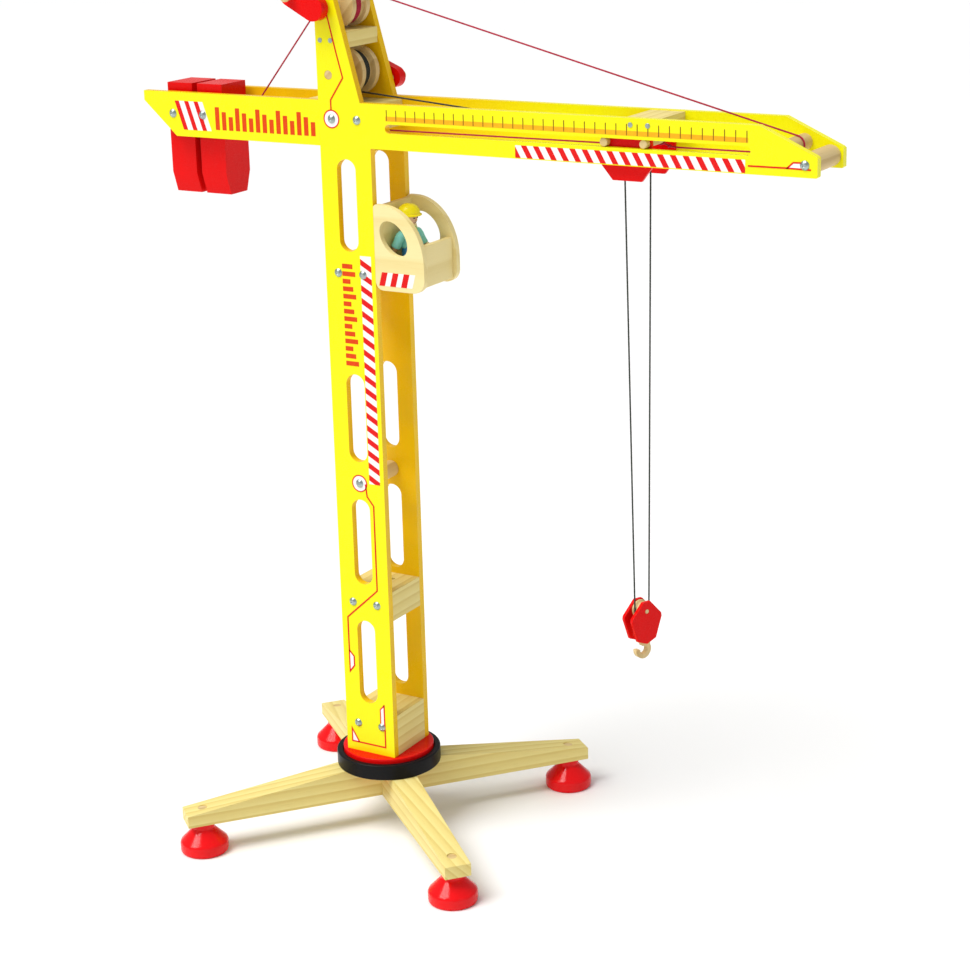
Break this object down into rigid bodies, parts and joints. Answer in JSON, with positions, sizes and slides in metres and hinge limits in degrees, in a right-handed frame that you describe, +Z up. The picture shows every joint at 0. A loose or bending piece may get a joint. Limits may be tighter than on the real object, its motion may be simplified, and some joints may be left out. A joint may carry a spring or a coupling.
{
  "type": "toy tower crane",
  "caption": "Wooden toy tower crane with a turning mast, a cranked trolley, a cranked two-fall hoist and hook, a small cab with a driver, and a crossed base.",
  "frame": {"origin": "on the slewing axis, on the plane that the feet stand on", "axes": "+X along the jib towards its tip, +Z up, -Y towards the side with the trolley crank"},
  "size_m": [0.676, 0.334, 0.816],
  "materials": {
    "yellow_paint": "lemon yellow lacquer on plywood, satin",
    "red_paint": "red gloss lacquer on beech",
    "black_paint": "black satin lacquer on beech",
    "pine": "pale pine, clear satin",
    "beech": "plain beech dowel and turnings",
    "pale_ply": "pale birch plywood, clear satin",
    "zinc": "bright zinc plating",
    "driver_paint": "painted wooden figure",
    "helmet_paint": "yellow gloss lacquer",
    "red_cord": "thin twisted cord",
    "black_cord": "thin twisted cord"
  },
  "bodies": {
    "base": {"base_beam_lower": "pine", "base_beam_upper": "pine", "foot_1": "red_paint", "foot_2": "red_paint", "foot_3": "red_paint", "foot_4": "red_paint", "foot_dowels": "beech", "turntable_ring": "black_paint"},
    "driver": {"driver_figure": "driver_paint", "driver_helmet": "helmet_paint"},
    "trolley_winch": {"trolley_winch_axle": "beech", "trolley_winch_spool": "beech", "trolley_winch_crank": "red_paint", "trolley_winch_handle": "beech", "trolley_winding": "red_cord"},
    "hoist_winch": {"hoist_winch_axle": "beech", "hoist_winch_spool": "beech", "hoist_winch_crank": "red_paint", "hoist_winch_handle": "beech", "hoist_winding": "black_cord"},
    "trolley": {"trolley_plate_front": "red_paint", "trolley_plate_rear": "red_paint", "trolley_axles": "beech"},
    "hook_block": {"hook_plates": "red_paint", "sheave_pin": "beech", "hook": "beech", "hoist_falls": "black_cord"},
    "sheave": {"sheave": "beech"},
    "tower": {"turntable_disc": "red_paint", "pivot_bolt": "zinc", "pivot_washer": "zinc", "pivot_nut": "zinc", "mast_jib_panel_front": "yellow_paint", "mast_jib_panel_rear": "yellow_paint", "tail_panel_front": "yellow_paint", "tail_panel_rear": "yellow_paint", "foot_block": "pine", "mast_block": "pine", "mast_spacer": "beech", "cab_block": "pine", "head_block": "pine", "winch_shelf": "pine", "jib_spacer": "pine", "tip_dowel_inner": "beech", "tip_dowel_outer": "beech", "tail_dowel": "beech", "panel_bolts": "zinc", "cap_nuts": "zinc", "wood_screws": "zinc", "counterweight_outer": "red_paint", "counterweight_inner": "red_paint", "cab_side_front": "pale_ply", "cab_side_rear": "pale_ply", "cab_back": "pale_ply", "cab_floor": "pale_ply", "cab_front_wall": "pale_ply", "cab_screws": "zinc", "hoist_cord_inner": "black_cord", "hoist_cord_outer": "black_cord", "trolley_cords": "red_cord"}
  },
  "joints": [
    {"name": "slew", "type": "hinge", "parent": "base", "child": "tower", "pos_m": [0, 0, 0.061], "axis": [0, 0, 1], "continuous": true},
    {"name": "driver_lift", "type": "slide", "parent": "tower", "child": "driver", "axis": [0, 0, 1], "range_m": [0, 0.045]},
    {"name": "trolley_travel", "type": "slide", "parent": "tower", "child": "trolley", "axis": [1, 0, 0], "range_m": [-0.18, 0.091]},
    {"name": "hoist", "type": "slide", "parent": "trolley", "child": "hook_block", "axis": [0, 0, 1], "range_m": [-0.21, 0.37], "deforming": ["hoist_falls"]},
    {"name": "sheave_spin", "type": "hinge", "parent": "hook_block", "child": "sheave", "pos_m": [0.2775, 0, 0.264], "axis": [-0.9063, 0.4226, 0], "range_deg": [-1600, 2750]},
    {"name": "trolley_winch_spin", "type": "hinge", "parent": "tower", "child": "trolley_winch", "pos_m": [-0.0205, 0, 0.7905], "axis": [0, 1, 0], "range_deg": [-300, 590]},
    {"name": "hoist_winch_spin", "type": "hinge", "parent": "tower", "child": "hoist_winch", "pos_m": [-0.015, 0, 0.7315], "axis": [0, 1, 0], "range_deg": [-1365, 2400]}
  ],
  "couplings": [
    {"joint": "trolley_winch_spin", "follows": "trolley_travel", "rad_per_m": -56.338},
    {"joint": "hoist_winch_spin", "follows": "hoist", "rad_per_m": 112.68},
    {"joint": "sheave_spin", "follows": "hoist", "rad_per_m": 127.39}
  ]
}
